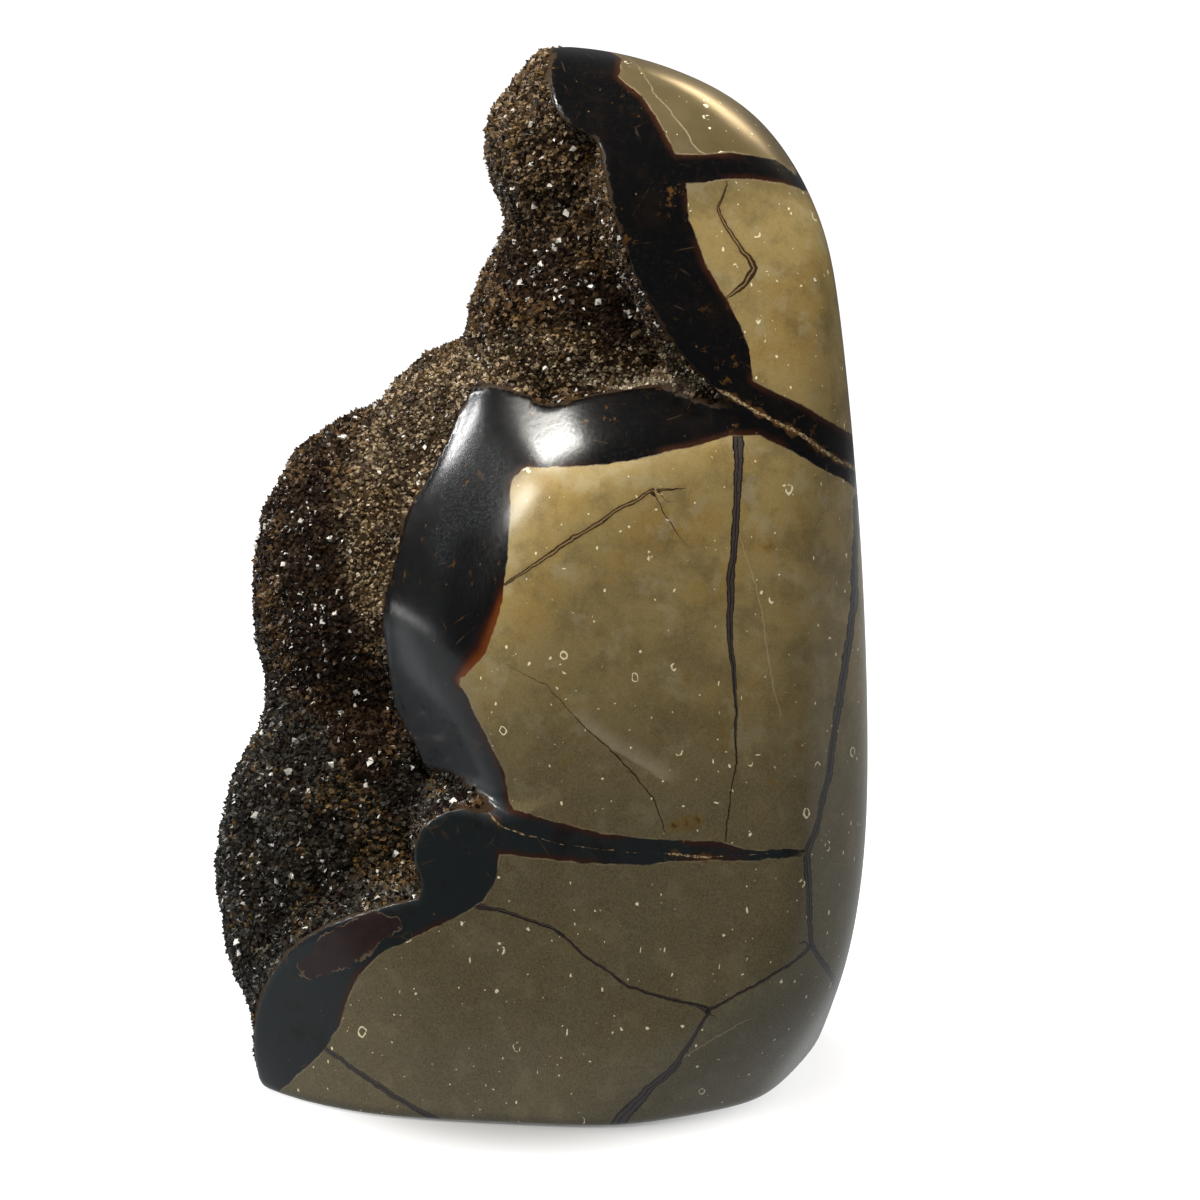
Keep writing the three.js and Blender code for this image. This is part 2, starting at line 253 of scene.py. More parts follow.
def surface_net(field, cell):
    """Vertices and quads of the field's zero level, one vertex in each cell it crosses."""
    count = np.ceil((BOX_HIGH - BOX_LOW) / cell).astype(int)
    axes = [BOX_LOW[a] + cell * np.arange(count[a] + 1) for a in range(3)]
    values = np.empty(count + 1)
    for i, x in enumerate(axes[0]):
        y, z = np.meshgrid(axes[1], axes[2], indexing="ij")
        values[i] = field(np.stack([np.full_like(y, x), y, z], -1))
    inside = values < 0

    def corner(array, bits):
        i, j, k = bits
        return array[i : count[0] + i, j : count[1] + j, k : count[2] + k]

    corners = [(c & 1, c >> 1 & 1, c >> 2 & 1) for c in range(8)]
    filled = sum(corner(inside, bits).astype(int) for bits in corners)
    cells = np.argwhere((filled > 0) & (filled < 8))
    total = np.zeros((len(cells), 3))
    crossings = np.zeros(len(cells))
    for start in corners:
        for axis in range(3):
            if start[axis]:
                continue
            a = cells + start
            b = a + AXES[axis]
            value_a, value_b = values[tuple(a.T)], values[tuple(b.T)]
            crossed = (value_a < 0) != (value_b < 0)
            share = np.where(crossed, value_a / np.where(crossed, value_a - value_b, 1), 0)
            total += crossed[:, None] * (a + share[:, None] * (b - a))
            crossings += crossed
    points = BOX_LOW + cell * total / crossings[:, None]
    for _ in range(SETTLING_STEPS):
        normal = slope(field, points)
        step = field(points) / np.maximum((normal**2).sum(-1), LEAST_SQUARED_SLOPE)
        points = points - normal * np.clip(step, -cell / 2, cell / 2)[:, None]

    vertex = np.full(count, -1)
    vertex[tuple(cells.T)] = np.arange(len(cells))
    quads = []
    for axis in range(3):
        ahead, u, v = AXES[axis], AXES[(axis + 1) % 3], AXES[(axis + 2) % 3]
        trimmed = tuple(slice(0, n + (1 - a)) for n, a in zip(count, ahead))
        moved = tuple(slice(a, None) for a in ahead)
        here = np.argwhere(inside[trimmed] != inside[moved])
        ring = np.stack([vertex[tuple((here - back).T)] for back in (u + v, v, 0 * u, u)], -1)
        flip = ~inside[tuple(here.T)]
        ring[flip] = ring[flip][:, ::-1]
        quads.append(ring)
    return points, np.concatenate(quads)


# ------------------------ the veins
#
# Cracks run through the nodule from front to back, so they are drawn once, on the plane
# through the middle of the nodule that faces the camera, as (across, up) in millimetres.

TARGET = np.array([10.1, -0.8, 72.1])
CAMERA_ELEVATION = 9.0
CAMERA_DISTANCE = 500.0

# Limestone between the cracks.
LIMESTONE = {
    "cap": [
        (4.3, 81.3), (3.1, 78.6), (6.5, 75.6), (9.4, 70.6), (11.5, 66.8), (19.5, 67.2),
        (26.2, 66.3), (30.9, 62.5), (36, 59.1), (54, 54.8), (54, 102), (4.8, 102),
    ],
    "upper": [
        (12.8, 62.5), (22.5, 63.1), (27.4, 62.4), (30.9, 61.2), (36, 57.9), (54, 53.2),
        (54, 18), (42, 21.8), (36.9, 25.5), (28.2, 30.4), (22.9, 33.1), (22.6, 37.6),
        (19.8, 43.8), (18.6, 45.8), (15.6, 51), (13.5, 57.1),
    ],
    "main": [
        (-12.8, 18.3), (-11.1, 19.8), (-4.3, 19.8), (1.5, 20.4), (8.7, 21.9), (14.8, 23.2),
        (19.5, 24.6), (23.7, 24.9), (30.1, 21.3), (36.6, 17.8), (42, 14.2), (54, 10.5),
        (54, -37.4), (30.6, -37.4), (22.5, -37.4), (18.6, -36.3), (9.4, -36), (0, -34.8),
        (-6.5, -33.3), (-13.2, -31.2), (-14.4, -26.1), (-17.1, -20.4), (-19.8, -14.7),
        (-21.3, -12.4), (-17.1, -8.1), (-15.3, -2.1), (-13.7, 6.3), (-13.5, 16.3),
    ],
    "right": [
        (38.5, 15.6), (37.9, -1.3), (37, -9), (35.5, -18.1), (34.4, -25.8), (32.4, -34.5),
        (31, -37.8), (30.9, -40.5), (31.6, -51.6), (35.5, -58.2), (40.5, -69), (54, -75),
        (54, 15),
    ],
    "lower": [
        (-14.8, -38.1), (-10.2, -38.7), (-2.4, -39.4), (6.8, -39.8), (16.3, -39),
        (23.2, -39.1), (30.6, -38.4), (54, -39.3), (54, -105), (-60, -105), (-54, -78),
        (-48.1, -73.6), (-43.9, -70.3), (-41.2, -67.3), (-39, -63.9), (-38.2, -60.8),
        (-36.3, -56.5), (-32.4, -52.8), (-28.2, -50.9), (-19.5, -46.6), (-17.6, -45.4),
        (-15.4, -41.2),
    ],
}

# Narrow veins: across, up, half width.
VEINS = [
    [  # upright, through the main block
        (20.6, 24.3, 0.82), (20.8, 20.6, 0.67), (20.6, 13.9, 0.6), (20.2, 9.4, 0.6),
        (19.6, 2.5, 0.6), (19.6, -5.1, 0.45), (19.9, -10.8, 0.38), (20.6, -16.6, 0.22),
        (20.4, -24.6, 0.15),
    ],
    [  # side
        (38.5, 15.6, 0.38), (37.9, -1.3, 0.53), (37, -9, 0.53), (35.5, -18.1, 0.53),
        (34.4, -25.8, 0.45), (32.4, -34.5, 0.45), (31, -37.8, 0.53), (30.9, -39.3, 0.53),
        (31.5, -43.9, 0.45), (31.6, -51.6, 0.38), (35.1, -57, 0.45), (36, -59.4, 0.45),
        (39, -64.5, 0.38), (45, -72, 0.38),
    ],
    [  # lower
        (-19.1, -45.9, 0.38), (-15, -46.6, 0.3), (-9.3, -48.4, 0.22), (-6.9, -49.5, 0.22),
        (-2.4, -53.5, 0.22), (4.2, -57.8, 0.22), (9.4, -59.5, 0.22), (16.3, -61.6, 0.3),
    ],
    [  # fork, down
        (16.2, -61.8, 0.22), (14.1, -65.8, 0.3), (11.8, -69.3, 0.45), (7.9, -73, 0.6),
        (3.3, -77.8, 0.9), (0, -82.5, 0.9),
    ],
    [(16.6, -61.6, 0.22), (23.2, -57.8, 0.22), (28.9, -54.3, 0.22), (31.6, -52, 0.3)],
    [  # bottom left corner
        (-41.7, -67.2, 0.3), (-35.5, -71.1, 0.38), (-31.3, -74.2, 0.38),
        (-24.8, -77.8, 0.38), (-18, -81, 0.38),
    ],
]

# Brown hairlines in the limestone: across, up, half width.
HAIRLINES = [
    [
        (-14.2, 2.5, 0.2), (-9.3, 5.5, 0.3), (-5.1, 8.7, 0.34), (-0.4, 11.4, 0.32),
        (3, 13.8, 0.34), (7.6, 16.3, 0.3), (11.4, 16.5, 0.16),
    ],
    [
        (-15, -9.3, 0.02), (-8.1, -12.8, 0.05), (-4.3, -16.9, 0.07), (4.2, -25.1, 0.1),
        (7.9, -29.5, 0.1), (9.8, -34.5, 0.08),
    ],
    [(7.9, 16.2, 0.05), (10, 12.4, 0.09), (12.5, 9.2, 0.05)],
    [(20.4, -24.6, 0.14), (19.6, -28.1, 0.12), (19.1, -34.5, 0.12), (18.8, -36.8, 0.1)],
    [
        (18.9, 62.1, 0.12), (17.6, 58.6, 0.25), (18.6, 56.1, 0.28), (20.6, 53.4, 0.32),
        (22.3, 51.4, 0.45), (23.2, 49.9, 0.55), (21.8, 47.5, 0.5), (19.6, 45.4, 0.3),
    ],
]

# Cream threads of calcite: across, up, half width.
THREADS = [
    [(21, 9.4, 0.05), (23.2, 2.5, 0.09), (24.8, -4.3, 0.09), (25.9, -12.8, 0.08), (27.1, -17.7, 0.05)],
    [(12.6, -68.7, 0.05), (18, -65.4, 0.09), (22.5, -62.7, 0.05)],
    [
        (5.8, 81.1, 0.04), (8.4, 75.9, 0.06), (11.8, 71.7, 0.08), (14.8, 67.5, 0.08),
        (19.5, 65.2, 0.1), (25.9, 62.5, 0.08),
    ],
    [(22.6, 51, 0.06), (23.4, 49.9, 0.12), (22.2, 47.9, 0.12), (21, 46.8, 0.06)],
    [(1.5, 58, 0.05), (7, 54.5, 0.09), (13, 53.5, 0.06)],
]

# Open middles of the widest veins, lined with tan crystals: across, up, half width.
SEAMS = [
    [
        (13, 33.4, 0.14), (19.5, 30.6, 0.27), (24, 28.2, 0.22), (28.9, 25.2, 0.27),
        (33.8, 22.2, 0.28), (39, 19.3, 0.22), (45, 16.5, 0.2),
    ],
    [
        (-19, -29.5, 0.1), (-15, -34, 0.12), (-10.5, -35.4, 0.08), (-6, -36.6, 0.0),
        (3, -37.6, 0.0), (9, -38.1, 0.0), (11.5, -38.3, 0.18), (16, -38.5, 0.2),
        (18, -38.4, 0.0), (26, -37.9, 0.0),
    ],
]

# Calcite beside the main block: scratches painted grey as the sheen they catch, patches painted
# black where the polish reflects only dark, and a slate grey painted as a reflection of the floor.
SCRATCH_SHEEN = [(-17.5, 20, 3), (-20, 14, 4.5), (-22, 8, 2.5)]
DARK_REFLECTION = [(-19, 7, 2.5), (-19.5, 0, 3.5), (-21.5, -5, 2.5)]
SLATE_REFLECTION = [(-31, -6, 2), (-28, -16, 4), (-22, -26, 3.5), (-17, -31, 1.5)]

# A painted glow of light passing through thin calcite, and a patch of maroon calcite.
EMBER = [
    (-14.2, 5, -1.5), (-15.2, -0.5, 0.2), (-16.9, -5, 1.6), (-18.8, -9, 2.4), (-20.6, -11.6, 0.8),
]
MAROON = [(-43.2, -55.2, 1.8), (-39, -52.5, 3.2), (-34.5, -49.5, 2.8), (-30.8, -48.8, 1.2)]

# The crust: fine tan crystals beside the polish and, duller, on the brow of the shoulder; valleys of
# dark red-brown crystals, darkened further by painted shade, where they sparkle; amber flecks on the
# foot; and the pale ledge over the main block.
SUGAR = [
    (14, 34, 2.0), (2, 37, 3.2), (-12, 35.8, 4.2), (-24.5, 30.5, 5.5), (-30.5, 19.5, 6.5),
    (-33, 6, 5.5), (-34.5, -4, 2.5),
]
BROW = [(-44, 23, 2), (-49.5, 14, 2.5), (-51.5, 3, 1.5)]
FLECKS = [(-42, -27, 2), (-35, -33, 4), (-30, -42, 3.5), (-36, -50, 1)]
SHADED_VALLEYS = [
    [(-42, 14, 2), (-42.5, 0, 3.5), (-40, -12, 4), (-35, -24, 3)],
    [(-14, 51, 2), (-5, 47, 4), (3, 42, 3)],
]
LEDGE = [(-7, 34.4, 0.5), (-2, 33.6, 1.3), (3, 32.4, 1.6), (9, 31.4, 1.8), (14.5, 32.6, 1.4)]

# A painted highlight streak on the main face: across, up.
HIGHLIGHT_STREAK = [(-3, -18, 0), (1.5, -22, 0), (6, -24.6, 0), (9, -26.6, 0)]

# How cracks stray from the drawing: the depths over which they start to waver, and their wobble.
WAVER_DEPTHS = (-12, 26)
BROAD_WOBBLE = 0.25
FINE_WOBBLE = 0.14

# Distances from lines are stored no further than this.
LINE_REACH = 20

# Rust stains: across, up, radius.
RUST = [
    (14.4, -33.3, 0.7), (12.8, -33.5, 1.0), (11.2, -33.8, 0.8), (18.6, -19.0, 0.35),
    (18.7, -20.6, 0.45), (18.4, -22.0, 0.3), (29.7, -22.2, 0.4), (26.1, -27.6, 0.3),
    (34.2, -33.2, 0.35), (26.2, 13.5, 0.3), (25.4, 8.0, 0.5), (13.1, -11.4, 0.3),
    (-5.4, -24.3, 0.4), (8.5, -20.5, 0.2), (31.5, -13.5, 0.3),
]


def on_drawing(points):
    """Where points of the nodule fall on the drawing; it wavers as it goes to the back."""
    e = np.radians(CAMERA_ELEVATION)
    forward = np.array([0, np.cos(e), -np.sin(e)])
    up = np.array([0, np.sin(e), np.cos(e)])
    away = points - (TARGET - forward * CAMERA_DISTANCE)
    depth = away @ forward / CAMERA_DISTANCE
    flat = np.stack([away[:, 0] / depth, away @ up / depth], -1)
    deep = ramp(points[:, 1], *WAVER_DEPTHS)
    flat[:, 0] += deep * (5 * np.sin(flat[:, 1] / 13 + 0.7) + 3 * np.sin(flat[:, 1] / 5.5))
    flat[:, 1] += deep * (7 * np.sin(flat[:, 0] / 17 + 2.1) - 5)
    broad = np.stack([lumps(points, 4.5, seed) for seed in (2.2, 9.7)], -1)
    fine = np.stack([lumps(points, 1.6, seed) for seed in (4.1, 7.3)], -1)
    return flat + BROAD_WOBBLE * broad + FINE_WOBBLE * fine


def segment_distances(flat, start, end):
    """Distance to a segment, which side of it, and how far along it, for each point."""
    along = end - start
    from_start = flat - start
    t = np.clip(from_start @ along / (along @ along), 0, 1)
    off = from_start - t[:, None] * along
    side = np.sign(along[0] * from_start[:, 1] - along[1] * from_start[:, 0])
    return np.linalg.norm(off, axis=-1), np.where(side == 0, 1, side), t


def inside_by(flat, outline):
    """Distance inside a closed outline; negative outside."""
    ring = np.array(outline, float)
    nearest = np.full(len(flat), FAR)
    odd = np.zeros(len(flat), bool)
    for start, end in zip(ring, np.roll(ring, -1, axis=0)):
        nearest = np.minimum(nearest, segment_distances(flat, start, end)[0])
        spans = (start[1] > flat[:, 1]) != (end[1] > flat[:, 1])
        rise = end[1] - start[1] or 1e-9
        odd ^= spans & (flat[:, 0] < start[0] + (flat[:, 1] - start[1]) * (end[0] - start[0]) / rise)
    return np.where(odd, nearest, -nearest)


def line_field(flat, lines):
    """For the nearest line: signed distance across it, its half width there, and distance."""
    nearest = np.full(len(flat), FAR)
    across = np.full(len(flat), FAR)
    width = np.zeros(len(flat))
    for line in lines:
        knots = np.array(line, float)
        for start, end in zip(knots, knots[1:]):
            distance, side, t = segment_distances(flat, start[:2], end[:2])
            closer = distance < nearest
            nearest = np.where(closer, distance, nearest)
            across = np.where(closer, distance * side, across)
            width = np.where(closer, start[2] + t * (end[2] - start[2]), width)
    across = np.clip(across, -LINE_REACH, LINE_REACH)
    return np.stack([across, width, np.clip(nearest, 0, LINE_REACH)], -1)


def within(flat, line):
    """Distance inside the half width of a line; negative beyond it."""
    field = line_field(flat, [line])
    return field[:, 1] - field[:, 2]


def spot_field(flat, spots):
    """Distance inside the nearest spot; negative outside."""
    inside = [radius - np.linalg.norm(flat - (x, y), axis=-1) for x, y, radius in spots]
    return np.max(inside, axis=0)


# ------------------------ meshes

STONE_CELL = 0.86
LINE_ATTRIBUTES = {"vein": VEINS, "hairline": HAIRLINES, "thread": THREADS, "seam": SEAMS}

# The drawn stains shrink by a distance where the surface turns to the back, between two depths.
TURN_TO_BACK = (-8, 8)
FADED = 9

# Crystals: how many, how far they lean, their radii (lognormal, within limits) and their lengths
# as multiples of the radius. Those whose glint is high enough sparkle: they are bigger, and painted
# near-white as glints.
CRYSTALS = 62000
LEAN = 0.5
RADIUS_LOG = (-1.05, 0.34)
RADIUS_LIMITS = (0.16, 0.6)
LENGTHS = (0.8, 1.8)
SPARKLING_FROM = 0.9935
SPARKLING_MORE_IN_VALLEYS = 0.012
SPARKLING_SIZE = 1.2
FINER_IN_SUGAR = 0.2
FINER_ON_LEDGE = 0.2

# Crystals stand where the crust covers the wall this much, and reach no lower than this height.
LEAST_COVER = 0.1
LOWEST_CRYSTAL = 0.3
CRUST_PIECES = ("druse_foot", "druse_shoulder", "druse_ridge", "druse_head")

# Drawn zones of the crust: their lines, and the distances within them where they start and are
# whole. All of them fade out at the back, between two depths.
CRUST_ZONES = {
    "sugar": ([SUGAR], -2.5, 1.5),
    "brow": ([BROW], -2.5, 1.5),
    "ledge": ([LEDGE], -0.5, 0.3),
    "flecks": ([FLECKS], -3, 1),
    "shaded_valley": (SHADED_VALLEYS, -3, 1.5),
}
CRUST_BACK = (6, 16)

# Tones of the crust that the drawing leaves out: sugary at the top, brighter towards it, and grey
# low down, at the far left and in wide patches.
TOP_HEIGHTS = (120, 134)
BRIGHTER_HEIGHTS = (100, 135)
GREY_HEIGHTS = (38, 66)
GREY_LEFT = (-40, -45)
GREY_PATCH = 14.0
BRIGHT_PATCH = 3.6


def new_object(name, data):
    thing = bpy.data.objects.new(name, data)
    bpy.context.scene.collection.objects.link(thing)
    return thing


def new_mesh(name, points, faces, smooth):
    """A mesh object, from points in millimetres."""
    mesh = bpy.data.meshes.new(name)
    mesh.from_pydata((points * MM).tolist(), [], faces.tolist())
    mesh.polygons.foreach_set("use_smooth", np.full(len(mesh.polygons), smooth))
    return new_object(name, mesh)


def give_vector(thing, name, values):
    """Stores three values for each vertex."""
    attribute = thing.data.attributes.new(name, "FLOAT_VECTOR", "POINT")
    attribute.data.foreach_set("vector", np.ascontiguousarray(values, np.float32).ravel())


def make_stone():
    """The polished nodule, with what its material reads stored on the vertices."""
    points, quads = surface_net(dressed, STONE_CELL)
    points[:, 2] = np.maximum(points[:, 2], 0)
    thing = new_mesh("polished_stone", points, quads, True)
    _, openness = nodule(points)
    flat = on_drawing(points)
    back = ramp(points[:, 1], *TURN_TO_BACK)
    faded = FADED * back[:, None]
    limestone = np.max([inside_by(flat, outline) for outline in LIMESTONE.values()], axis=0)
    wall = ramp(openness + 0.15 * lumps(points, 1.2, 3.3), -0.12, 0.2)
    give_vector(thing, "zone", np.stack([limestone, wall, ramp(flat[:, 1], -42, 18)], -1))
    for name, lines in LINE_ATTRIBUTES.items():
        give_vector(thing, name, line_field(flat, lines))
    # Where the painted highlight streak lies.
    give_vector(thing, "highlight_streak", line_field(flat, [HIGHLIGHT_STREAK]) + faded)
    rust = np.maximum(spot_field(flat, RUST), -5)
    # Rust and maroon are stains; the ember is a painted glow of light through thin calcite.
    stain = np.stack([rust, within(flat, EMBER), within(flat, MAROON)], -1)
    give_vector(thing, "stain", stain - faded)
    scratch_sheen = ramp(within(flat, SCRATCH_SHEEN), -3, 1)
    dark_reflection = ramp(within(flat, DARK_REFLECTION), -2.5, 1)
    slate_reflection = ramp(within(flat, SLATE_REFLECTION), -2, 1)
    # Painted sheen, darkness and reflection on the calcite, all fading towards the back.
    give_vector(thing, "depth", np.stack([scratch_sheen, dark_reflection, slate_reflection], -1) * (1 - back)[:, None])
    return thing, points, quads, openness


def crystal_template():
    """A six-sided crystal with one point up and one down: vertices and triangles."""
    ring = [
        (np.cos(np.pi * k / 3), np.sin(np.pi * k / 3), 0.22 if k % 2 else -0.22)
        for k in range(6)
    ]
    points = np.array(ring + [(0, 0, 1.0), (0, 0, -0.9)])
    faces = []
    for k in range(6):
        faces += [(k, (k + 1) % 6, 6), ((k + 1) % 6, k, 7)]
    return points, np.array(faces)


def unit(vectors):
    return vectors / np.linalg.norm(vectors, axis=-1, keepdims=True)


def seat_crystals(points, quads, openness, random):
    """Places on the open crack walls, and each crystal's three axes, the last off the wall."""
    covered = crusted(points, openness)
    walls = quads[covered[quads].min(-1) > LEAST_COVER]
    a, b, c, d = (points[walls[:, k]] for k in range(4))
    area = np.linalg.norm(np.cross(c - a, d - b), axis=-1) / 2
    chosen = random.choice(len(walls), CRYSTALS, p=area / area.sum())
    s, t = random.random((2, CRYSTALS, 1))
    one_side = a[chosen] * (1 - s) + b[chosen] * s
    other_side = d[chosen] * (1 - s) + c[chosen] * s
    seats = one_side * (1 - t) + other_side * t
    normals = unit(slope(dressed, seats, 0.3))
    ups = unit(normals + LEAN * random.normal(size=(CRYSTALS, 3)))
    sides = unit(np.cross(ups, random.normal(size=(CRYSTALS, 3))))
    return seats, (sides, np.cross(ups, sides), ups)


def crust_zones(seats):
    """For each drawn zone of the crust, 1 at the seats in it and 0 at those outside."""
    flat = on_drawing(seats)
    front = 1 - ramp(seats[:, 1], *CRUST_BACK)
    zones = {}
    for name, (lines, start, end) in CRUST_ZONES.items():
        reached = [ramp(within(flat, line), start, end) for line in lines]
        zones[name] = np.max(reached, axis=0) * front
    return zones


def crust_tones(seats, zones):
    """How grey each crystal is; and how sugary, how much of the ledge and how bright."""
    height = seats[:, 2]
    top = ramp(height, *TOP_HEIGHTS)
    sugar = np.max([zones["sugar"], 0.6 * zones["brow"], 0.3 * top], axis=0)
    low = 1 - ramp(height, *GREY_HEIGHTS)
    left = 0.7 * ramp(seats[:, 0], *GREY_LEFT)
    patches = lumps(seats, GREY_PATCH, 3.3) + 1.2 * low + left - 0.45
    # In the valleys the crystals are browner, and darker by painted shade.
    grey = ramp(patches - zones["shaded_valley"], -0.2, 0.5)
    bright = lumps(seats, BRIGHT_PATCH, 8.8) + 0.4 * ramp(height, *BRIGHTER_HEIGHTS)
    bright = bright + 0.5 * zones["flecks"] - 1.1 * zones["shaded_valley"]
    return grey, np.stack([sugar, zones["ledge"], bright], -1)


def make_crust(points, quads, openness):
    """Scatters crystals over the open crack walls and joins them, a stretch of height a piece."""
    random = np.random.default_rng(3)
    seats, axes = seat_crystals(points, quads, openness, random)
    zones = crust_zones(seats)
    glint = random.random(CRYSTALS)
    sparkling = glint > SPARKLING_FROM - SPARKLING_MORE_IN_VALLEYS * zones["shaded_valley"]
    fine = 1 - FINER_IN_SUGAR * zones["sugar"] - FINER_ON_LEDGE * zones["ledge"]
    fine = fine * np.where(sparkling, SPARKLING_SIZE, 1)
    radius = fine * np.clip(random.lognormal(*RADIUS_LOG, CRYSTALS), *RADIUS_LIMITS)
    length = radius * random.uniform(*LENGTHS, CRYSTALS)
    template, faces = crystal_template()
    shape = seats[:, None]
    for k, (axis, size) in enumerate(zip(axes, (radius, radius, length))):
        shape = shape + axis[:, None] * template[None, :, k : k + 1] * size[:, None, None]
    grey, patch = crust_tones(seats, zones)
    tint = np.stack([random.random(CRYSTALS), glint + sparkling, grey], -1)

    order = np.argsort(seats[:, 2])
    pieces = []
    for name, members in zip(CRUST_PIECES, np.array_split(order, len(CRUST_PIECES))):
        corners = shape[members].reshape(-1, 3)
        corners[:, 2] = np.maximum(corners[:, 2], LOWEST_CRYSTAL)
        offsets = np.arange(len(members))[:, None, None] * len(template)
        thing = new_mesh(name, corners, (faces[None] + offsets).reshape(-1, 3), False)
        give_vector(thing, "tint", np.repeat(tint[members], len(template), axis=0))
        give_vector(thing, "patch", np.repeat(patch[members], len(template), axis=0))
        pieces.append(thing)
    return pieces


# ------------------------ materials
#
# Colours are linear, and pairs of them are what a noise or a mask runs between. Wavelengths and
# distances are in millimetres.

# Limestone low and high: darker and more olive low down, partly its own tone and partly painted shade
# for light that falls from above.
LIMESTONE_LOW = (0.078, 0.064, 0.034), (0.11, 0.092, 0.049)
LIMESTONE_HIGH = (0.27, 0.192, 0.067), (0.362, 0.262, 0.095)
OCHRE = (0.26, 0.15, 0.026)
CLOUD = (0.08, 0.06, 0.025)
MARL = (0.4, 0.36, 0.24)
GRAIN = (0.7, 0.57, 0.3)
# Painted shade on the crown, and the heights over which it comes in.
PAINTED_CROWN_SHADE = (0.068, 0.051, 0.022)
CROWN_SHADE_HEIGHTS = (128, 140)
SHELL = (0.9, 0.81, 0.54)
RUST_HALO = (0.17, 0.092, 0.012)
RUST_CORE = (0.05, 0.022, 0.006)
# The colour of the painted highlight streak on the main face.
PAINTED_STREAK_HIGHLIGHT = (0.4, 0.35, 0.24)
PALE_THREAD = (0.5, 0.42, 0.26)
BESIDE_CRACK = (0.16, 0.1, 0.03)
CRACK = (0.034, 0.016, 0.005)
CRACK_FILLING = (0.3, 0.2, 0.09)
PALE_RIM = (0.3, 0.235, 0.135)

# Calcite, low and high: near-black, painted lighter and bluer low down as a reflection of the floor.
CALCITE_AND_FLOOR_REFLECTION = (0.0135, 0.017, 0.0185), (0.0016, 0.0016, 0.0018)
PAINTED_SLATE_REFLECTION = (0.05, 0.055, 0.062)
CALCITE_GRAIN = (0.016, 0.008, 0.003)
CALCITE_TINGE = (0.008, 0.0045, 0.0025)
CALCITE_DUST = (0.045, 0.043, 0.04)
PAINTED_SCRATCH_SHEEN = (0.024, 0.027, 0.03)
PAINTED_DARK_REFLECTION = (0.0012, 0.0012, 0.0014)
CALCITE_WEB = (0.09, 0.052, 0.024)
CALCITE_EDGE = (0.042, 0.012, 0.004)
PAINTED_GLOW = (0.018, 0.003, 0.001), (0.125, 0.031, 0.004)
MAROON_FLESH = (0.014, 0.009, 0.01), (0.036, 0.02, 0.018)
MAROON_WARM = (0.115, 0.048, 0.02)
MAROON_RIM = (0.19, 0.135, 0.085)
AMBER_PATCH = (0.028, 0.011, 0.003), (0.17, 0.08, 0.018)
SPECK = (0.17, 0.11, 0.05)

VEIN_FILLING = (0.038, 0.03, 0.028), (0.078, 0.06, 0.054)
VEIN_WALL = (0.008, 0.005, 0.004)
VEIN_CRACK = (0.01, 0.007, 0.006)
BESIDE_SEAM = (0.09, 0.041, 0.011)
SEAM_CRYSTALS = (0.1, 0.05, 0.018), (0.5, 0.39, 0.22)
BED = (0.01, 0.006, 0.004), (0.06, 0.036, 0.019)

BROWN_CRYSTAL = (0.008, 0.004, 0.002), (0.166, 0.092, 0.038)
ASH_CRYSTAL = (0.006, 0.005, 0.004), (0.072, 0.066, 0.05)
TAN_CRYSTAL = (0.058, 0.037, 0.018), (0.54, 0.41, 0.25)
CREAM_CRYSTAL = (0.22, 0.17, 0.1), (0.75, 0.66, 0.5)
AMBER_CRYSTAL = (0.21, 0.12, 0.038)
SPECKLE = (0.006, 0.004, 0.003)
DARK_CRYSTAL = (0.01, 0.005, 0.003)
PAINTED_GLINT = (0.8, 0.77, 0.7)

# Layers of shell bits: wavelength, stretch, turn, ring radius (0 for a dot), size, rarity.
SHELL_LAYERS = [
    (2.3, (1, 1.4, 0.8), (0.7, 0.4, 0.1), 0.0, 0.095, 0.3),
    (1.3, (1, 1, 1), (0.3, 0.1, 0.2), 0.0, 0.08, 0.5),
    (2.2, (1, 1, 0.3), (0.4, 0.9, 0.2), 0.0, 0.055, 0.35),
    (2.4, (0.3, 1, 1), (0.1, 0.5, 0.9), 0.0, 0.055, 0.4),
    (4.0, (1, 0.7, 0.8), (0.9, 0.2, 0.5), 0.13, 0.026, 0.62),
]


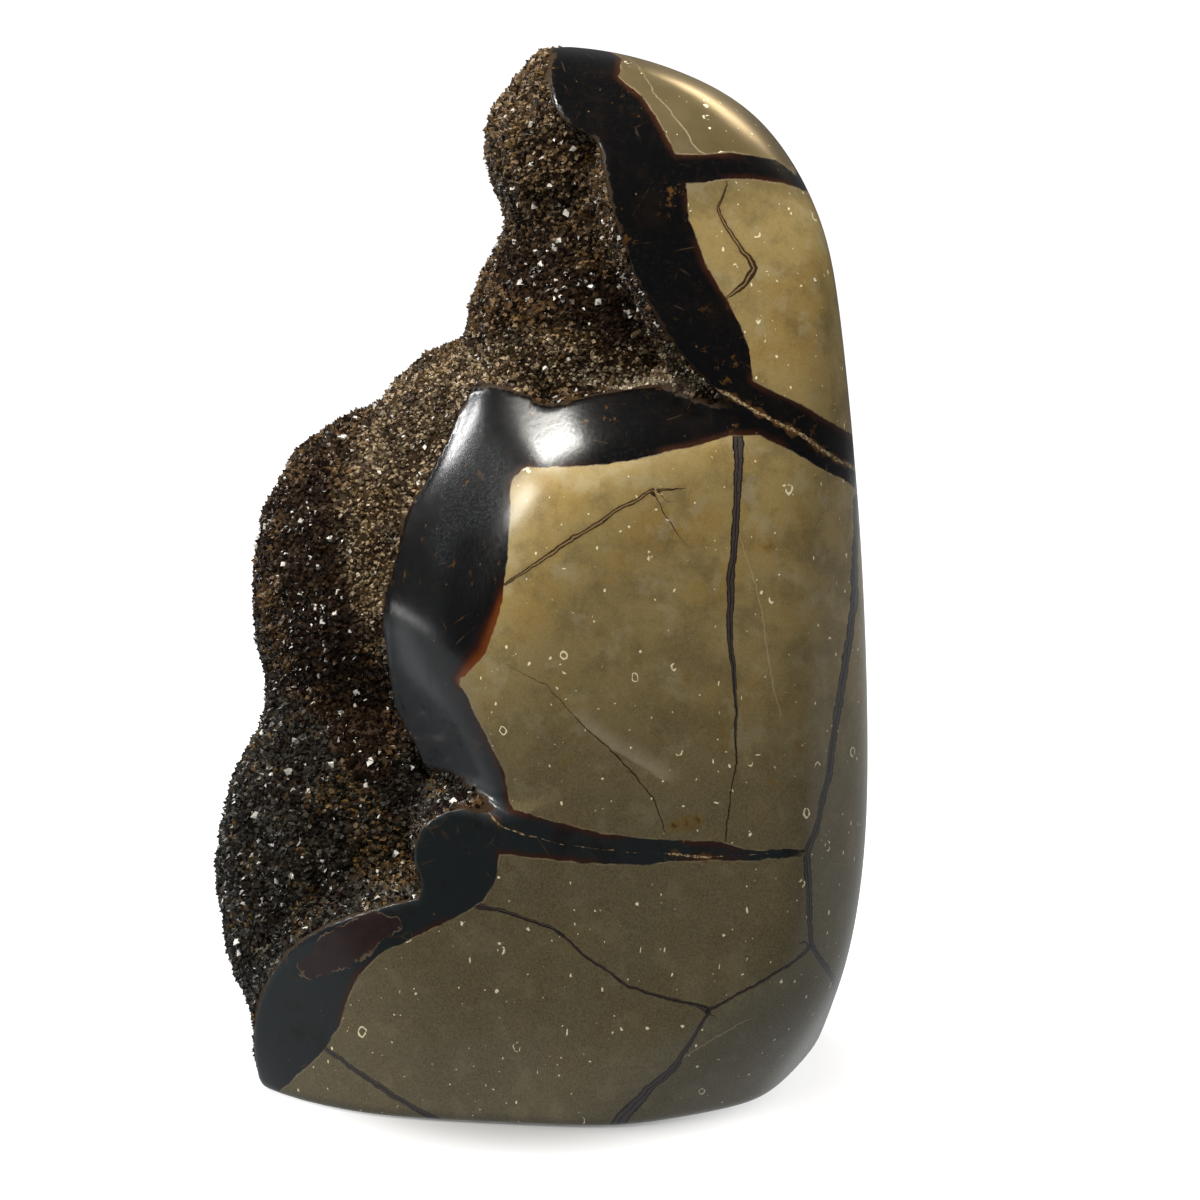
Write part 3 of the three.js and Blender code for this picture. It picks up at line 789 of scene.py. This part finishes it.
class Shade:
    """Adds nodes to one material."""

    def __init__(self, name):
        self.material = bpy.data.materials.new(name)
        self.material.use_nodes = True
        self.tree = self.material.node_tree
        self.surface = self.tree.nodes["Principled BSDF"]
        coordinates = self.node("TexCoord").outputs["Object"]
        scaled = {0: coordinates, "Scale": 1 / MM}
        self.place = self.node("VectorMath", scaled, operation="SCALE").outputs[0]

    def node(self, kind, inputs=(), **settings):
        """A new node; each input is given as a value or as the socket that links to it."""
        made = self.tree.nodes.new("ShaderNode" + kind)
        for name, value in settings.items():
            setattr(made, name, value)
        for name, value in dict(inputs).items():
            self.link(value, made.inputs[name])
        return made

    def link(self, source, socket):
        if hasattr(source, "links"):
            self.tree.links.new(source, socket)
        else:
            socket.default_value = source

    def cover(self, inputs):
        """Gives the surface shader these inputs."""
        for name, value in inputs.items():
            self.link(value, self.surface.inputs[name])

    def math(self, operation, a, b=0.0, c=0.0):
        return self.node("Math", enumerate((a, b, c)), operation=operation).outputs[0]

    def times(self, a, b):
        return self.math("MULTIPLY", a, b)

    def plus(self, a, b):
        return self.math("ADD", a, b)

    def minus(self, a, b):
        return self.math("SUBTRACT", a, b)

    def scaled(self, value, by, more):
        return self.math("MULTIPLY_ADD", value, by, more)

    def vector_math(self, operation, *inputs):
        return self.node("VectorMath", enumerate(inputs), operation=operation).outputs

    def step(self, value, start, end):
        """0 at start and 1 at end, smoothly."""
        inputs = {"Value": value, "From Min": start, "From Max": end}
        return self.node("MapRange", inputs, interpolation_type="SMOOTHSTEP").outputs[0]

    def mix(self, share, a, b):
        """Colour a where the share is 0, b where it is 1; 6, 7 and 2 are the colour sockets."""
        a, b = ((*value, 1) if isinstance(value, tuple) else value for value in (a, b))
        return self.node("Mix", {0: share, 6: a, 7: b}, data_type="RGBA").outputs[2]

    def tinted(self, colour, tint, mask, share):
        """The colour, turned to the tint by that share of the mask."""
        return self.mix(self.times(mask, share), colour, tint)

    def noise(self, wavelength, detail=2.0, place=None, roughness=0.5):
        inputs = {"Vector": place or self.place, "Scale": 1 / wavelength}
        inputs.update({"Detail": detail, "Roughness": roughness})
        return self.node("TexNoise", inputs).outputs[0]

    def patches(self, wavelength, detail, start, end, roughness=0.5):
        """1 where the noise is over the end, 0 where it is under the start."""
        return self.step(self.noise(wavelength, detail, None, roughness), start, end)

    def cells(self, wavelength, place=None, feature="F1"):
        inputs = {"Vector": place or self.place, "Scale": 1 / wavelength}
        return self.node("TexVoronoi", inputs, feature=feature).outputs

    def parts(self, vector):
        return self.node("SeparateXYZ", {0: vector}).outputs

    def attribute(self, name):
        made = self.node("Attribute", attribute_type="GEOMETRY", attribute_name=name)
        return self.parts(made.outputs["Vector"])

    def crooked(self, place, wavelength, amount):
        """The place shifted by noise, which makes shapes irregular."""
        noise = self.node("TexNoise", {"Vector": place, "Scale": 1 / wavelength})
        return self.vector_math("MULTIPLY_ADD", noise.outputs["Color"], (amount,) * 3, place)[0]

    def stretched(self, scale, turn):
        inputs = {"Vector": self.place, "Scale": scale, "Rotation": turn}
        return self.node("Mapping", inputs).outputs[0]

    def wobble(self, wavelength, amount, detail=2.0):
        """Noise around 0, from minus half the amount to half of it."""
        return self.times(self.minus(self.noise(wavelength, detail), 0.5), amount)

    def on_lines(self, line, jitter, soften):
        """1 on the lines of a stored line field, whose edges are ragged by the jitter."""
        across, width, near = line
        distance = self.math("ABSOLUTE", self.plus(across, jitter))
        mask = self.step(self.minus(width, distance), -soften, soften)
        return self.times(mask, self.step(near, 1.8, 1.4))


def limestone_colour(shade, height):
    """Dark olive low down and tan above, partly its own tone and partly painted shade for light from
    above, with patches of other colours and a crown darkened by painted shade.
    """
    drift = shade.noise(16, 3)
    low = shade.mix(drift, *LIMESTONE_LOW)
    high = shade.mix(drift, *LIMESTONE_HIGH)
    # Partly painted shade: darker low down, where less light from above falls.
    colour = shade.mix(height, low, high)
    ochre = shade.patches(9, 3, 0.5, 0.7)
    ochre = shade.times(ochre, shade.scaled(height, 0.45, 0.08))
    colour = shade.mix(ochre, colour, OCHRE)
    cloud = shade.patches(6, 5, 0.42, 0.66, 0.65)
    colour = shade.tinted(colour, CLOUD, cloud, 0.5)
    marl = shade.patches(4.6, 4, 0.52, 0.66, 0.6)
    marl = shade.times(marl, shade.scaled(height, 0.22, 0.08))
    colour = shade.mix(marl, colour, MARL)
    grain = shade.patches(0.3, 3, 0.3, 0.72, 0.7)
    colour = shade.tinted(colour, GRAIN, grain, 0.11)
    # Painted shade: the crown is darkened against the light that falls on it from above.
    crown = shade.step(shade.parts(shade.place)[2], *CROWN_SHADE_HEIGHTS)
    return shade.tinted(colour, PAINTED_CROWN_SHADE, crown, 0.85)


def shell_mask(shade):
    """Broken shell bits: dots, dashes and arcs."""
    found = 0.0
    for wavelength, scale, turn, ring, width, rarity in SHELL_LAYERS:
        place = shade.crooked(shade.stretched(scale, turn), 1.1, 0.9)
        cell = shade.cells(wavelength, place)
        distance = cell["Distance"]
        if ring:
            distance = shade.math("ABSOLUTE", shade.minus(distance, ring))
        chance = shade.parts(cell["Color"])
        size = shade.scaled(chance[1], 0.6 * width, 0.6 * width)
        shown = shade.step(shade.minus(size, distance), -0.008, 0.012)
        gate = shade.math("GREATER_THAN", chance[0], rarity)
        if ring:
            gate = shade.times(gate, shade.patches(1.3, 1, 0.48, 0.54))
        found = shade.math("MAXIMUM", found, shade.times(shown, gate))
    return found


def rust_colour(shade, rock, rust):
    """Rust stains with ragged halos."""
    ragged = shade.plus(rust, shade.wobble(1.1, 2.2, 3))
    rock = shade.tinted(rock, RUST_HALO, shade.step(ragged, -0.9, 0.4), 0.6)
    return shade.tinted(rock, RUST_CORE, shade.step(ragged, 0.1, 0.8), 0.8)


def painted_streak_colour(shade, rock):
    """A painted highlight streak: sharp along its lower left side, and soft above it."""
    across, _, near = shade.attribute("highlight_streak")
    above = shade.step(across, -0.4, 0.1)
    fading = shade.times(shade.step(near, 3.0, 0.0), 0.4)
    return shade.mix(shade.times(above, fading), rock, PAINTED_STREAK_HIGHLIGHT)


def limestone_marks(shade, rock, rust, jitter):
    """Stains, shells and cracks in the limestone, and a painted highlight streak."""
    rock = rust_colour(shade, rock, rust)
    # Painted highlight: a pale streak on the main face.
    rock = painted_streak_colour(shade, rock)
    rock = shade.tinted(rock, SHELL, shell_mask(shade), 0.95)
    thread = shade.on_lines(shade.attribute("thread"), jitter, 0.06)
    rock = shade.tinted(rock, PALE_THREAD, thread, 0.4)

    crack = shade.attribute("hairline")
    across, width, near = crack
    beside = shade.times(shade.step(near, 0.9, 0.1), shade.step(width, 0.1, 0.3))
    rock = shade.tinted(rock, BESIDE_CRACK, beside, 0.3)
    rock = shade.mix(shade.on_lines(crack, jitter, 0.05), rock, CRACK)
    core = shade.math("MINIMUM", shade.minus(width, 0.2), 0.11)
    core = shade.on_lines((across, core, near), jitter, 0.04)
    return shade.tinted(rock, CRACK_FILLING, core, 0.8)


def maroon_colour(shade, colour, limestone, maroon):
    """A dull maroon patch, browner beside the limestone, with a pale scalloped edge."""
    patch = shade.plus(maroon, shade.wobble(2.4, 3.0, 3))
    flesh = shade.mix(shade.noise(1.6, 4), *MAROON_FLESH)
    warm = shade.times(shade.step(limestone, -2.2, -0.2), shade.noise(1.2, 3))
    flesh = shade.mix(warm, flesh, MAROON_WARM)
    colour = shade.mix(shade.step(patch, -0.12, 0.12), colour, flesh)
    edge = shade.step(shade.math("ABSOLUTE", patch), 0.16, 0.04)
    edge = shade.times(edge, shade.patches(3.4, 2, 0.44, 0.56))
    return shade.tinted(colour, MAROON_RIM, edge, 0.6)


def ember_colour(shade, colour, limestone, ember):
    """A painted glow, dark red to orange, of light passing the calcite beside the limestone."""
    edge = shade.math("POWER", shade.step(limestone, -4.6, 0.3), 2.3)
    glow = shade.times(shade.step(ember, -2.2, 0.6), edge)
    fire = shade.mix(shade.step(glow, 0.3, 1.0), *PAINTED_GLOW)
    return shade.mix(shade.step(glow, 0.0, 0.5), colour, fire)


def calcite_colour(shade, limestone, ember, maroon, height):
    """Near-black calcite with grain and dust, painted bluer low down and slate grey in places as
    reflections of the floor, grey as the sheen of its scratches, and black where it reflects only
    dark.
    """
    scratch_sheen, dark_reflection, slate_reflection = shade.attribute("depth")
    # Painted reflection of the floor: lighter and bluer low down.
    colour = shade.mix(height, *CALCITE_AND_FLOOR_REFLECTION)
    colour = shade.tinted(colour, PAINTED_SLATE_REFLECTION, slate_reflection, 0.8)
    grain = shade.patches(0.9, 5, 0.5, 0.72, 0.8)
    colour = shade.mix(shade.times(grain, shade.times(height, 0.5)), colour, CALCITE_GRAIN)
    tinge = shade.patches(7, 4, 0.5, 0.72, 0.65)
    colour = shade.tinted(colour, CALCITE_TINGE, tinge, 0.7)
    dust = shade.patches(0.5, 4, 0.52, 0.8, 0.75)
    dust = shade.times(dust, shade.patches(11, 2, 0.42, 0.62))
    dust = shade.times(dust, shade.scaled(height, -0.35, 0.65))
    colour = shade.mix(dust, colour, CALCITE_DUST)
    fibres = shade.noise(0.5, 4, shade.stretched((0.5, 1, 1.4), (0, 0.6, 0)), 0.8)
    # Scratches painted grey as the sheen they catch, and patches painted black where the polish
    # reflects only dark.
    scratch_sheen = shade.times(scratch_sheen, shade.step(fibres, 0.38, 0.68))
    colour = shade.mix(scratch_sheen, colour, PAINTED_SCRATCH_SHEEN)
    colour = shade.mix(dark_reflection, colour, PAINTED_DARK_REFLECTION)
    web = shade.cells(6.5, feature="DISTANCE_TO_EDGE")["Distance"]
    faint = shade.patches(4, 2, 0.56, 0.7)
    web = shade.times(shade.step(web, 0.022, 0.0), shade.times(faint, 0.5))
    colour = shade.mix(web, colour, CALCITE_WEB)
    thin = shade.step(limestone, -1.3, -0.1)
    thin = shade.times(thin, shade.patches(12, 2, 0.42, 0.56))
    colour = shade.tinted(colour, CALCITE_EDGE, thin, 0.8)
    colour = maroon_colour(shade, colour, limestone, maroon)
    return ember_colour(shade, colour, limestone, ember)


def calcite_marks(shade, calcite, height):
    """Brown patches in the calcite, commoner near the top, and bright specks."""
    patch = shade.patches(2.6, 4, 0.6, 0.68, 0.7)
    where = shade.times(shade.patches(13, 2, 0.46, 0.58), height)
    amber = shade.mix(shade.noise(0.6, 2), *AMBER_PATCH)
    calcite = shade.tinted(calcite, amber, shade.times(patch, where), 0.75)
    specks = shade.cells(1.7)
    rare = shade.math("GREATER_THAN", shade.parts(specks["Color"])[0], 0.86)
    speck = shade.times(shade.step(specks["Distance"], 0.13, 0.06), rare)
    return shade.tinted(calcite, SPECK, speck, 0.5)


def vein_colour(shade, vein, jitter):
    """Slate brown calcite between dark walls, with a dark crack in its middle."""
    across, width, _ = vein
    across = shade.plus(across, jitter)
    share = shade.math("DIVIDE", shade.math("ABSOLUTE", across), width)
    filled = shade.mix(shade.noise(0.7, 3), *VEIN_FILLING)
    colour = shade.mix(shade.step(share, 0.55, 0.85), filled, VEIN_WALL)
    crack = shade.math("ABSOLUTE", shade.plus(across, shade.wobble(5, 0.7)))
    return shade.mix(shade.step(crack, 0.12, 0.04), colour, VEIN_CRACK)


def seam_colour(shade, colour):
    """The crystals that line the open middle of the widest cracks, and the brown beside them."""
    across, width, near = shade.attribute("seam")
    beside = shade.minus(1.1, shade.math("ABSOLUTE", across))
    beside = shade.plus(beside, shade.wobble(2.2, 3.6, 3))
    beside = shade.times(shade.step(beside, 0.4, 1.0), shade.step(near, 2.4, 1.8))
    beside = shade.times(beside, shade.step(width, 0.08, 0.16))
    colour = shade.tinted(colour, BESIDE_SEAM, beside, 0.8)
    seam = shade.minus(width, shade.math("ABSOLUTE", across))
    seam = shade.plus(seam, shade.wobble(0.8, 0.6, 3))
    seam = shade.times(shade.step(seam, -0.05, 0.1), shade.step(near, 1.8, 1.2))
    crystals = shade.mix(shade.patches(0.45, 2, 0.4, 0.6), *SEAM_CRYSTALS)
    return shade.tinted(colour, crystals, seam, 0.9)


def stone_finish(shade, is_rock, on_bed):
    """Polish with fine scratches: its gloss changes from place to place, under a dull haze."""
    scratches = shade.noise(0.35, 3, shade.stretched((1, 1, 0.12), (0.5, 0.9, 0.2)), 0.7)
    depth = shade.scaled(is_rock, -0.14, 0.26)
    rough = shade.scaled(scratches, depth, 0.05)
    rough = shade.plus(rough, shade.times(is_rock, 0.13))
    rough = shade.plus(rough, shade.times(on_bed, 0.4))
    coat = shade.scaled(is_rock, 0.37, 0.05)
    bumps = {"Height": shade.noise(0.9, 3), "Strength": 0.05, "Distance": 0.2 * MM}
    shade.cover({
        "Roughness": rough,
        "Specular IOR Level": shade.scaled(on_bed, -0.35, 0.45),
        "Coat Weight": shade.times(coat, shade.minus(1.0, on_bed)),
        "Coat Roughness": 0.3,
        "Normal": shade.node("Bump", bumps).outputs[0],
    })


def stone_material():
    """Limestone and calcite with their marks, and the dark bed under the crystals."""
    shade = Shade("stone")
    limestone, wall, height = shade.attribute("zone")
    rust, ember, maroon = shade.attribute("stain")
    vein = shade.attribute("vein")
    limestone = shade.plus(limestone, shade.wobble(0.7, 0.3))
    jitter = shade.wobble(1.2, 0.55)

    rock = limestone_colour(shade, height)
    rock = limestone_marks(shade, rock, rust, jitter)
    calcite = calcite_colour(shade, limestone, ember, maroon, height)
    calcite = calcite_marks(shade, calcite, height)
    is_rock = shade.step(limestone, -0.06, 0.06)
    colour = shade.mix(is_rock, calcite, rock)
    rim = shade.times(shade.step(limestone, -0.2, -0.05), shade.step(limestone, 0.14, 0.0))
    rim = shade.times(rim, shade.patches(3, 2, 0.35, 0.6))
    colour = shade.tinted(colour, PALE_RIM, rim, 0.6)
    colour = seam_colour(shade, colour)
    in_rock = shade.times(shade.on_lines(vein, jitter, 0.07), is_rock)
    colour = shade.mix(in_rock, colour, vein_colour(shade, vein, jitter))

    on_bed = shade.step(wall, 0.1, 0.7)
    bed = shade.mix(shade.noise(0.5, 3), *BED)
    colour = shade.mix(on_bed, colour, bed)
    shade.cover({"Base Color": colour})
    stone_finish(shade, is_rock, on_bed)
    return shade.material


def crystal_material():
    """Brown or ash crystals, tan, cream or amber where the crust says so; some painted near-white as
    glints.
    """
    shade = Shade("druse")
    pick, glint, grey = shade.attribute("tint")
    sugar, ledge, bright = shade.attribute("patch")
    pale = shade.step(pick, 0.27, 1.0)
    brown = shade.mix(pale, *BROWN_CRYSTAL)
    ash = shade.mix(pale, *ASH_CRYSTAL)
    colour = shade.mix(grey, brown, ash)
    colour = shade.tinted(colour, shade.mix(pale, *TAN_CRYSTAL), sugar, 0.85)
    colour = shade.tinted(colour, shade.mix(pale, *CREAM_CRYSTAL), ledge, 0.85)
    amber = shade.times(shade.step(bright, 0.1, 0.5), shade.step(glint, 0.55, 0.8))
    colour = shade.tinted(colour, AMBER_CRYSTAL, amber, 0.6)
    speckle = shade.patches(0.28, 2, 0.36, 0.64, 0.7)
    colour = shade.tinted(colour, SPECKLE, speckle, 0.6)
    colour = shade.tinted(colour, DARK_CRYSTAL, shade.step(bright, 0.0, -0.7), 0.75)
    # Painted highlight: crystals that sparkle are painted near-white as glints.
    colour = shade.tinted(colour, PAINTED_GLINT, shade.step(glint, 1.0, 1.1), 0.85)
    rough = shade.scaled(pick, 0.22, 0.14)
    shade.cover({"Base Color": colour, "Roughness": rough, "Specular IOR Level": 0.38})
    return shade.material


# ------------------------ the object

stone, stone_points, stone_quads, stone_openness = make_stone()
stone.data.materials.append(stone_material())
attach(stone, "root")
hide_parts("stone")

druse_look = crystal_material()
for crust in make_crust(stone_points, stone_quads, stone_openness):
    crust.data.materials.append(druse_look)
    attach(crust, "root")
    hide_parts("druse")


# ------------------------ studio

WHITE = (1, 1, 1, 1)

# The floor, in metres. Its front edge lies just below the picture.
FLOOR_FRONT = -0.07
FLOOR_BACK = 0.9
FLOOR_HALF_WIDTH = 0.9
FLOOR_GREY = (0.25, 0.25, 0.25, 1)
FLOOR_LIGHT = (0.95, 0.98, 1, 1)
FLOOR_LIGHT_STRENGTH = 0.42

# Contact shade: the floor seen is darker round the nodule, over these distances from its base.
SHADE_STRETCH = (1.3, 1, 1)
NEAR_SHADE = (28, 54)
FAR_SHADE = (54, 120)

WORLD_SEEN_STRENGTH = 1.1
WORLD_LIGHT = (0.95, 0.97, 1.0, 1)
WORLD_LIGHT_STRENGTH = 0.09
WINDOW_WHITE = (1.0, 0.985, 0.92)

CAMERA_LENS = 100
CAMERA_SENSOR = 36
CAMERA_NEAREST = 0.01


def seen_and_lighting(tree, seen, light, output):
    """The camera sees one shader; the other one is what lights and reflects."""
    rays = tree.nodes.new("ShaderNodeLightPath")
    mixed = tree.nodes.new("ShaderNodeMixShader")
    tree.links.new(rays.outputs["Is Camera Ray"], mixed.inputs[0])
    tree.links.new(light.outputs[0], mixed.inputs[1])
    tree.links.new(seen.outputs[0], mixed.inputs[2])
    tree.links.new(mixed.outputs[0], tree.nodes[output].inputs["Surface"])


def floor_glow(shade):
    """The floor's brightness to the camera: a painted contact shadow round the nodule, and white
    further off.
    """
    stretched = shade.vector_math("MULTIPLY", shade.place, SHADE_STRETCH)[0]
    away = shade.vector_math("LENGTH", stretched)["Value"]
    near = shade.step(away, *NEAR_SHADE)
    far = shade.step(away, *FAR_SHADE)
    glow = shade.scaled(near, 0.76, 0.12)
    return shade.scaled(far, 0.22, glow)


def make_floor():
    """A pale table, which lights the nodule less than it looks."""
    left, right = -FLOOR_HALF_WIDTH, FLOOR_HALF_WIDTH
    corners = [(left, FLOOR_FRONT, 0), (right, FLOOR_FRONT, 0)]
    corners += [(right, FLOOR_BACK, 0), (left, FLOOR_BACK, 0)]
    floor = new_mesh("floor", np.array(corners) / MM, np.array([[0, 1, 2, 3]]), False)
    shade = Shade("floor")
    shade.cover({
        "Base Color": FLOOR_GREY,
        "Roughness": 0.9,
        "Specular IOR Level": 0,
        "Emission Color": WHITE,
        "Emission Strength": floor_glow(shade),
    })
    dimmer = {"Color": FLOOR_LIGHT, "Strength": FLOOR_LIGHT_STRENGTH}
    light = shade.node("Emission", dimmer)
    seen_and_lighting(shade.tree, shade.surface, light, "Material Output")
    floor.data.materials.append(shade.material)


def face_nodule(thing, azimuth, elevation, distance):
    """Places a lamp or the camera this far from the nodule's middle, turned to it."""
    towards = Vector(outward(azimuth, elevation))
    thing.location = Vector(TARGET * MM) + towards * distance
    thing.rotation_euler = towards.to_track_quat("Z", "Y").to_euler()


def softbox(name, azimuth, elevation, distance, size, radiance, colour=(1, 1, 1), shine=True):
    """A rectangular lamp that faces the nodule's middle; only some of them show as highlights."""
    data = bpy.data.lights.new(name, "AREA")
    data.shape = "RECTANGLE"
    data.size, data.size_y = size
    data.energy = radiance * np.pi * size[0] * size[1]
    data.color = colour
    lamp = new_object(name, data)
    face_nodule(lamp, azimuth, elevation, distance)
    lamp.visible_glossy = shine


def make_world():
    """White to look at, and dimmer as a light, so that the softboxes shape the stone."""
    world = bpy.data.worlds.new("studio")
    bpy.context.scene.world = world
    world.use_nodes = True
    nodes = world.node_tree.nodes
    seen = nodes.new("ShaderNodeBackground")
    seen.inputs["Color"].default_value = WHITE
    seen.inputs["Strength"].default_value = WORLD_SEEN_STRENGTH
    light = nodes["Background"]
    light.inputs["Color"].default_value = WORLD_LIGHT
    light.inputs["Strength"].default_value = WORLD_LIGHT_STRENGTH
    seen_and_lighting(world.node_tree, seen, light, "World Output")


def make_camera():
    data = bpy.data.cameras.new("camera")
    data.lens = CAMERA_LENS
    data.sensor_width = CAMERA_SENSOR
    data.clip_start = CAMERA_NEAREST
    camera = new_object("camera", data)
    face_nodule(camera, 0, CAMERA_ELEVATION, CAMERA_DISTANCE * MM)
    bpy.context.scene.camera = camera


make_floor()
softbox("window", -96, 53, 1.0, (0.09, 0.28), 50, WINDOW_WHITE)
softbox("window_low", -88, 28, 1.0, (0.12, 0.24), 24, WINDOW_WHITE)
softbox("strip", -120, 24, 1.0, (0.06, 0.20), 30)
softbox("kicker", -113, -2, 1.0, (0.16, 0.05), 4)
softbox("side", 130, 14, 1.0, (0.3, 0.3), 9, (1.0, 0.90, 0.50), shine=False)
softbox("crown_light", 158, 34, 1.0, (0.26, 0.18), 7, (1.0, 0.74, 0.42))
softbox("overhead", 180, 80, 0.6, (0.25, 0.25), 9, shine=False)
softbox("fill", -20, 60, 0.45, (0.4, 0.3), 7.4, (1.0, 0.97, 0.92), shine=False)
make_world()
make_camera()
bpy.context.scene.view_settings.view_transform = "Standard"
